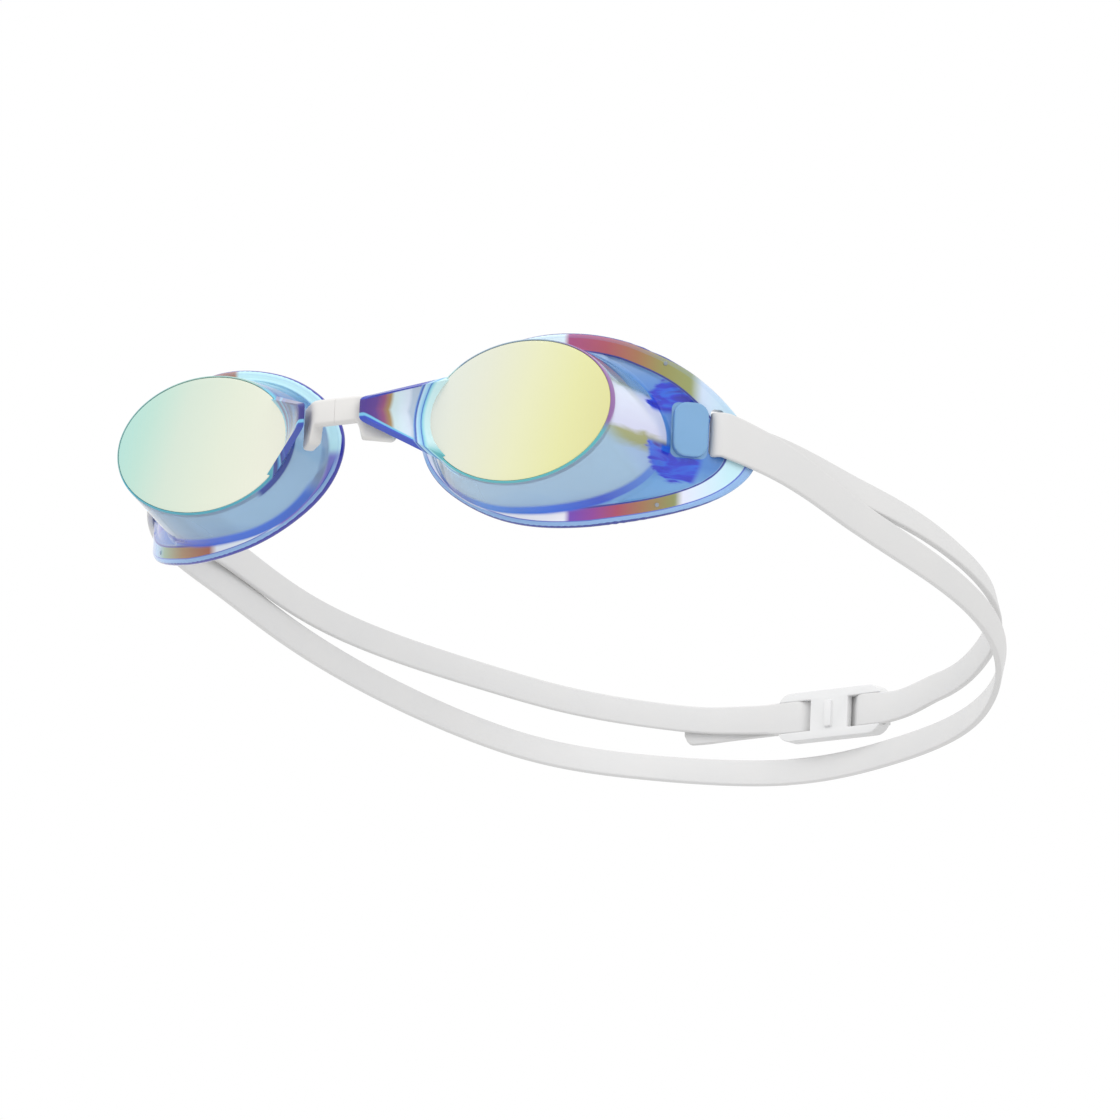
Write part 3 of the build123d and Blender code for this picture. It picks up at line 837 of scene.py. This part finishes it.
# ---------------------------------------------------------------- the cups and lenses
# Colours of each zone: a stop is a place in millimetres, or a share for the zones beside the rim and round
# the pad, and a colour; besides the coating's own colours the zones hold painted highlights, reflections and
# shade
# A painted highlight along the flange's edge, a painted shade line beside it, and a painted glint inside the
# wing's lower edge
EDGE_HIGHLIGHT_COLOUR = "8FB6E6"
EDGE_SHADE_LINE_COLOUR = "5468C8"
WING_GLINT_COLOUR = "6FBFE4"
LENS_BAND_COLOUR = "D8DCC0"
LENS_BACK_COLOUR = "A9BFDD"
LENS_TINTS = [
    (-56, "ACDAD2"), (-49, "BADCCF"), (-41, "D0DFD0"), (-30, "DDE4D2"), (-16, "E8E8D8"),
    (16, "DDE2DA"), (26, "E0E2CE"), (36, "E3E4BC"), (46, "E1E1A6"), (56, "DBD898"),
]
LEFT_LOOKS = {
    "top": [
        (5, "B8C8EE"), (24, "CFE6F4"), (38.5, "E2F4F6"), (39.5, "A8427A"), (46, "AA4A5A"), (51, "A06A48"),
        (55, "8E8A4C"), (59, "8C9458"), (60.5, "C4D4EA"), (66, "B5DCE8"),
    ],
    "bottom": [
        (5, "C9D6F2"), (16, "E6EAF6"), (40, "F4F4FA"), (41, "7439B8"), (45, "8F3798"), (49, "A8425F"),
        (53, "9C6F4C"), (57.5, "858C52"), (58.5, "DDE0F2"), (64, "BFE4EE"),
    ],
    "wall": [(-20, "86B2E0"), (-14, "A8C8E2"), (0, "AECDE4"), (8, "7FB6E4"), (14, "4F86D6")],
    # At the temple, the white-lavender band from -3.4 to 3.6 mm is a painted reflection, and the dark blues
    # from 6.4 to 9.4 mm are painted crease shade
    "temple": [
        (-20, "8FB2DD"), (-7, "9DB8DC"), (-5.6, "9CA06A"), (-4.2, "A3A56C"), (-3.4, "D9DAF2"),
        (3.6, "E2E8F8"), (4.2, "9DA574"), (5.6, "86A79A"), (6.4, "1F3FB8"), (7.6, "2A6FD8"),
        (9.4, "2A2FB0"), (11, "8FB0DC"),
    ],
    "plate": [
        (-20, "7FB0E0"), (-11, "6FA8DE"), (-8, "4F8AD2"), (-3, "5A90D6"), (4, "4A86DA"), (8, "6F9FDC"),
        (12, "A3BEE0"),
    ],
    # Painted dark-blue crease shade round the pad
    "pad_crease_shade": [(0.3, "1A1E9A"), (0.45, "2334C8"), (0.55, "1F63D8"), (0.7, "2A1C96")],
    # A painted crease line where the wall meets the flange, standing in for refraction and shade
    "crease": [(5, "4A7FD0"), (16, "2438A8"), (24, "1F7FE0"), (38, "1C66E4"), (47, "2A4FD0"), (56, "5E8FD8")],
    "pad": "7AAAD4",
    # Painted dark shade lines along the flange's groove and outline
    "line": "26348F",
    # Beside the rim: painted pale highlight bands and painted dark shade lines
    "beside": [
        (1.0, "CDEFF0"), (1.02, "8FD8E6"), (1.03, "2F66C8"), (1.036, "8FC8EA"), (1.058, "B5DDF2"),
        (1.066, "2538A8"), (1.074, "4F86D0"), (1.085, "B9CBDD"),
    ],
    # The rim's colours make a painted thin shade line at the lens edge
    "rim_low": "4FAFB8",
    "rim_high": "8FA6B8",
    "rim_side": "8A5F9C",
    # The pale band from 10.9 to 12.8 mm is a painted highlight
    "wing": [
        (4, "2C1878"), (7, "45208F"), (8.6, "5A2A90"), (9.6, "93467A"), (10.4, "A9894E"), (10.9, "D3ECF2"),
        (12.8, "D8E4F4"), (13.3, "B3C5DA"), (20, "BCCDDD"),
    ],
    # Painted dark shade on the wing's top and bottom edges
    "wing_top_edge_shade": "2233A8",
    "wing_bottom_edge_shade": "2443B8",
}
RIGHT_LOOKS = {
    "top": [(5, "BFEAF2"), (33, "C4ECF1"), (34, "A5704F"), (40, "9C5A4C"), (44, "C8DCEC"), (66, "B9C4E4")],
    "bottom": [
        (8, "8E9ADB"), (14, "7F6BC4"), (21, "8A5FC0"), (23, "E9F2F6"), (36, "E6EEF6"), (38, "A5573C"),
        (46, "9E7A50"), (53, "7F9B7C"), (57, "86B4E0"), (64, "5F7FD6"),
    ],
    "wall": [(-20, "7FA8DA"), (-14, "9CC0DE"), (0, "A2C4E0"), (8, "5F9FE0"), (14, "7FD0EE")],
    "temple": [(-20, "5E48B0"), (-9, "6A58BC"), (-5, "8AA0D4"), (3, "A6BCDC"), (14, "B4C8DC")],
    "plate": [(-20, "6F9FE0"), (-9, "5A7FD2"), (-3, "8AA6DA"), (4, "8FB4DE"), (12, "9CC8E4")],
    # Painted dark-blue crease shade round the pad
    "pad_crease_shade": [(0.3, "3A2FA8"), (0.45, "2A3BC0"), (0.55, "3B57C8"), (0.7, "4A2FA0")],
    # A painted crease line where the wall meets the flange, standing in for refraction and shade
    "crease": [(5, "3F7FD8"), (18, "2F66D0"), (30, "1F66E0"), (44, "1C48D0"), (52, "2E2498"), (60, "5A4AB8")],
    "pad": "9FB0DA",
    # Painted dark shade lines along the flange's groove and outline
    "line": "2A2C9C",
    # Beside the rim: painted pale highlight bands and painted dark shade lines
    "beside": [
        (1.0, "6FC4E0"), (1.02, "1E3F9F"), (1.05, "162A80"), (1.07, "2F7FC8"), (1.09, "6FB8DC"),
        (1.11, "1E2F8F"), (1.13, "2443A8"), (1.16, "2F66B8"),
    ],
    # The rim's colours make a painted thin shade line at the lens edge
    "rim_low": "3F9FB4",
    "rim_high": "8FB8B0",
    "rim_side": "7FB0B0",
    "wing": [
        (4, "24187A"), (8, "2A2A90"), (10, "2F7FC8"), (11.5, "162A80"), (13.5, "3F9FD8"), (15.5, "1E3F9F"),
        (20, "3F8FD0"),
    ],
    # Painted dark shade on the wing's top and bottom edges
    "wing_top_edge_shade": "1E2A80",
    "wing_bottom_edge_shade": "1E3FA8",
}
left_cup_paint = cup_paint("left_cup_coating_and_painted_light", 1.0, LEFT_LOOKS)
right_cup_paint = cup_paint("right_cup_coating_and_painted_light", -1.0, RIGHT_LOOKS)
mirror = lens_paint()


def make_lens(name, mirrored):
    """The oval lens: a crowned front, a rounded edge and a flat back."""
    rings = []
    profile = [(share, -LENS_CROWN * (1 - share**2)) for share in np.linspace(0.04, 0.985, 16)] + LENS_EDGE
    profile += [(share, LENS_THICKNESS) for share in np.linspace(0.95, 0.04, 8)]
    for share, y in profile:
        rings.append([
            (LENS_X + LENS_HALF[0] * share * cos(a), y, LENS_HALF[1] * share * sin(a))
            for a in np.linspace(0, 2 * pi, 128, endpoint=False)
        ])
    lens = capped_sweep(name, rings, mirrored)
    fix_normals(lens)
    sharpen(lens, 50)
    return lens


for side, mirrored, coating in (("left", False, left_cup_paint), ("right", True, right_cup_paint)):
    cup = make_cup(side + "_cup_shell", mirrored)
    cup.data.materials.clear()
    cup.data.materials.append(coating)
    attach(cup, side + "_cup")
    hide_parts(side + "_cup")
    lens = make_lens(side + "_lens_plate", mirrored)
    lens.data.materials.append(mirror)
    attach(lens, side + "_cup")
    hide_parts(side + "_lens")

# ---------------------------------------------------------------- the nose belt
belt_silicone = silicone_paint("belt_silicone_matte", "C9C8C6", "CFCDCB")


def make_belt(name, mirrored):
    """Half of the nose belt, from the middle of the nose to a rounded end, with a lobe hanging below."""
    plan = through(BELT_PLAN, 0.25)
    rings = []
    ahead = np.gradient(plan, axis=0)
    ahead /= np.linalg.norm(ahead, axis=1)[:, None]
    run = np.concatenate([[0], np.cumsum(np.linalg.norm(np.diff(plan, axis=0), axis=1))])
    for (x, y), (ahead_x, ahead_y), gone in zip(plan, ahead, run):
        lobe = np.clip((gone - LOBE_FROM) / LOBE_RAMP, 0, 1)
        bottom = BELT_BOTTOM - LOBE_DROP * lobe**2 * (3 - 2 * lobe)
        to_end = max(0.0, 1 - (run[-1] - gone) / BELT_END)
        ending = sqrt(max(0.0, 1 - to_end**2))
        thickness = BELT_THICKNESS * (0.3 + 0.7 * ending)
        height = (BELT_TOP - bottom) * (0.55 + 0.45 * ending)
        middle = (BELT_TOP + bottom) / 2
        section = rounded_section(thickness, height, 0.32 + 0.3 * ending)
        rings.append([(x + ahead_y * out, y - ahead_x * out, middle + up) for out, up in section])
    belt = capped_sweep(name, rings, mirrored)
    fix_normals(belt)
    sharpen(belt, 60)
    return belt


for side, mirrored in (("left", False), ("right", True)):
    belt = make_belt(side + "_nose_belt", mirrored)
    belt.data.materials.append(belt_silicone)
    way = -1 if mirrored else 1
    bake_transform(belt)
    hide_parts(side + "_nose_belt_end")
    if side == "left":
        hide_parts("nose_belt_middle")

# ---------------------------------------------------------------- the strap
strap_silicone = silicone_paint("strap_silicone_matte", "C9C9C9", "CDCCCB")


def half_plan(radius, plan):
    """A strap layer seen from above, from the fold's end along the flange and then the path."""
    arc = [arc_point(radius, angle) for angle in np.linspace(SLOT_ANGLE, FOLD_END_ANGLE + 0.5, 4)]
    return [tuple(spot) for spot in arc] + plan


def across_back(plan):
    """The plan with its mirror image behind it."""
    return plan + [(-x, y) for x, y in reversed(plan[:-1])]


def with_heights(plan, heights):
    """Adds heights, which depend on how far back a point is and on its side."""
    z = np.empty(len(plan))
    for way in (1, -1):
        on_side = plan[:, 0] * way >= 0
        places, values = heights[way]
        z[on_side] = cubic(places, values, np.clip(plan[on_side, 1], places[0], places[-1]))
    return np.column_stack([plan, z])


def widths_at(path):
    """How wide the strap is along a path."""
    return np.where(
        path[:, 0] >= 0,
        np.interp(path[:, 1], WIDTHS_AT, WIDTHS[1]),
        np.interp(path[:, 1], WIDTHS_AT, WIDTHS[-1]),
    )


def leans_at(path, leans):
    """How far the strap's top leans outwards along a path, in degrees."""
    return np.where(
        path[:, 0] >= 0,
        np.interp(path[:, 1], LEAN_AT, leans[1]),
        np.interp(path[:, 1], LEAN_AT, leans[-1]),
    )


def finish_strap(piece, *nodes):
    """What every piece of the strap shares: closed faces, silicone, and the nodes it stands for."""
    fix_normals(piece)
    sharpen(piece, 60)
    piece.data.materials.append(strap_silicone)
    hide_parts(*nodes)


def strand_path(way):
    """The inner layer on one side, from the fold round the back and through the buckle."""
    straight = [tuple(buckle_point(-way * along, 0)[:2]) for along in STRAIGHT_STOPS]
    half = [(way * x, y) for x, y in half_plan(INNER_LAYER, UPPER_PLAN)]
    path = with_heights(through(half + straight, 1.0), UPPER_HEIGHTS)
    reach = (path - BUCKLE_CENTRE) @ BUCKLE_ALONG * -way
    near = np.flatnonzero(reach <= WEAVE_REACH)[0]
    ahead = [tuple(path[near + step]) for step in (0, 4, 8)]
    woven = through(ahead + [buckle_point(*spot) for spot in WEAVES[way]], 0.5)
    return np.concatenate([path[:near], woven])


def fold_spots(way, start, end):
    """The half turn round the flange's strap bar, from the outer layer's height to the inner one's."""
    turn = radians(SLOT_ANGLE)
    centre = arc_point(BAR_MIDDLE, SLOT_ANGLE)
    half_gap = OUTER_LAYER - BAR_MIDDLE
    spots = []
    for angle in np.linspace(0, pi, 13)[1:-1]:
        outwards = half_gap * cos(angle)
        backwards = half_gap * sin(angle)
        x = centre[0] + outwards * sin(turn) - backwards * cos(turn)
        y = centre[1] - outwards * cos(turn) - backwards * sin(turn)
        spots.append((way * x, y, start + (end - start) * angle / pi))
    return spots


lower_path = with_heights(through(across_back(half_plan(OUTER_LAYER, LOWER_PLAN)), 1.0), LOWER_HEIGHTS)
is_back = np.flatnonzero(lower_path[:, 1] >= SPLIT_Y)
lower = ribbon("lower_strap_run", lower_path, widths_at(lower_path), STRAP_THICKNESS,
               leans_at(lower_path, LOWER_LEANS), slice(is_back[0], is_back[-1] + 1))
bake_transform(lower)
finish_strap(lower, "lower_strap_back", "left_lower_strap_front", "right_lower_strap_front")

for side, way in (("left", 1), ("right", -1)):
    path = strand_path(way)
    reach = np.abs((path - BUCKLE_CENTRE) @ BUCKLE_ALONG)
    split = np.flatnonzero(path[:, 1] >= SPLIT_Y)[0]
    enters = np.flatnonzero(reach <= STRAIGHT_HALF)[0]
    share = np.interp(reach, [BUCKLE_WIDTH_REACH, WEAVE_REACH], [1, 0])
    widths = widths_at(path) * (1 - share) + BUCKLE_WIDTH * share
    widths += np.interp(reach, [WOVEN_WIDTH_REACH, BUCKLE_WIDTH_REACH], [WOVEN_WIDTH - BUCKLE_WIDTH, 0])
    leans = way * leans_at(path, UPPER_LEANS) * (1 - share)
    is_strand = slice(split, enters + 1)
    strand = ribbon(side + "_upper_strap_run", path, widths, STRAP_THICKNESS, leans, is_strand)
    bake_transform(strand)
    finish_strap(strand, side + "_upper_strap", side + "_upper_strap_front")

    weave = ribbon(side + "_strap_weave_run", path, widths, STRAP_THICKNESS, leans, slice(enters, None))
    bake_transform(weave)
    finish_strap(weave, side + "_strap_weave")

    outer = lower_path[is_back[0] + 1::-1] if way > 0 else lower_path[is_back[-1] - 1:]
    inner = path[:split + 2]
    fold = fold_spots(way, outer[-1, 2], inner[0, 2])
    path_round = np.concatenate([outer, fold, inner])
    outer_leans = -leans_at(outer, LOWER_LEANS)
    leans = way * np.concatenate([outer_leans, np.zeros(len(fold)), leans_at(inner, UPPER_LEANS)])
    widths = widths_at(path_round)
    loop = ribbon(side + "_strap_fold", path_round, widths, STRAP_THICKNESS, leans, slice(1, -1))
    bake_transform(loop)
    finish_strap(loop, side + "_strap_loop")

path = through([buckle_point(*spot) for spot in TAIL], 0.5)
tail = ribbon("strap_tail_run", path, tail_widths(path), WEAVE_THICKNESS)
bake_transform(tail)
finish_strap(tail, "strap_tail")

buckle = bpy.data.objects.new("buckle_slide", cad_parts["strap_buckle"].data.copy())
bpy.context.scene.collection.objects.link(buckle)
fix_normals(buckle)
work = bmesh.new()
work.from_mesh(buckle.data)
bmesh.ops.dissolve_limit(work, angle_limit=radians(2), verts=work.verts, edges=work.edges)
work.to_mesh(buckle.data)
work.free()
rounding = buckle.modifiers.new("rounding", "BEVEL")
rounding.width = BUCKLE_ROUNDING * MM
rounding.segments = 3
rounding.limit_method = "ANGLE"
rounding.angle_limit = radians(35)
apply_modifiers(buckle)
sharpen(buckle, 40)
buckle.data.materials.clear()
buckle.data.materials.append(silicone_paint("buckle_plastic_satin", "D2D2D2", "D6D6D6"))
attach(buckle, "buckle")
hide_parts("strap_buckle")

# ---------------------------------------------------------------- floor, light and camera
FLOOR_Z = -900.0
FLOOR_HALF = 4000.0
corners = [(x * FLOOR_HALF, y * FLOOR_HALF, 0) for x, y in ((-1, -1), (1, -1), (1, 1), (-1, 1))]
floor = mesh_object("floor", corners, [(0, 1, 2, 3)])
floor.location.z = FLOOR_Z * MM
floor.data.materials.append(floor_paint())

world = bpy.data.worlds.new("studio")
world.use_nodes = True
world.node_tree.nodes["Background"].inputs["Color"].default_value = (1.0, 1.0, 1.0, 1.0)
world.node_tree.nodes["Background"].inputs["Strength"].default_value = 1.0
bpy.context.scene.world = world
bpy.context.scene.view_settings.view_transform = "Standard"


def softbox(name, spot, size, watts):
    """A square area light that faces the goggles; its place and size are in metres."""
    light = bpy.data.lights.new(name, "AREA")
    light.size = size
    light.energy = watts
    made = bpy.data.objects.new(name, light)
    made.location = spot
    made.rotation_euler = (-Vector(spot)).to_track_quat("-Z", "Y").to_euler()
    made.visible_glossy = False
    bpy.context.scene.collection.objects.link(made)


softbox("key", (-0.6, -0.7, 1.0), 0.7, 9.0)
softbox("fill", (0.9, -0.4, 0.5), 0.6, 4.0)

# The camera's shifts and distance are in metres
AZIMUTH = radians(33.0)
ELEVATION = radians(-12.2)
ROLL = radians(2.6)
FOCAL_LENGTH = 180.7
SENSOR_WIDTH = 36.0
SHIFT_ACROSS, SHIFT_OVER, DISTANCE = 0.03689, -0.02403, 1.0231
away = Vector((sin(AZIMUTH) * cos(ELEVATION), -cos(AZIMUTH) * cos(ELEVATION), sin(ELEVATION)))
level = Vector((0, 0, 1)).cross(away).normalized()
upright = away.cross(level)
across = level * cos(ROLL) + upright * sin(ROLL)
over = upright * cos(ROLL) - level * sin(ROLL)
camera = bpy.data.objects.new("camera", bpy.data.cameras.new("camera"))
camera.data.lens = FOCAL_LENGTH
camera.data.sensor_width = SENSOR_WIDTH
camera.data.clip_start = 0.05
camera.data.clip_end = 50.0
place = across * SHIFT_ACROSS + over * SHIFT_OVER + away * DISTANCE
camera.matrix_world = Matrix.Translation(place) @ Matrix((across, over, away)).transposed().to_4x4()
bpy.context.scene.collection.objects.link(camera)
bpy.context.scene.camera = camera
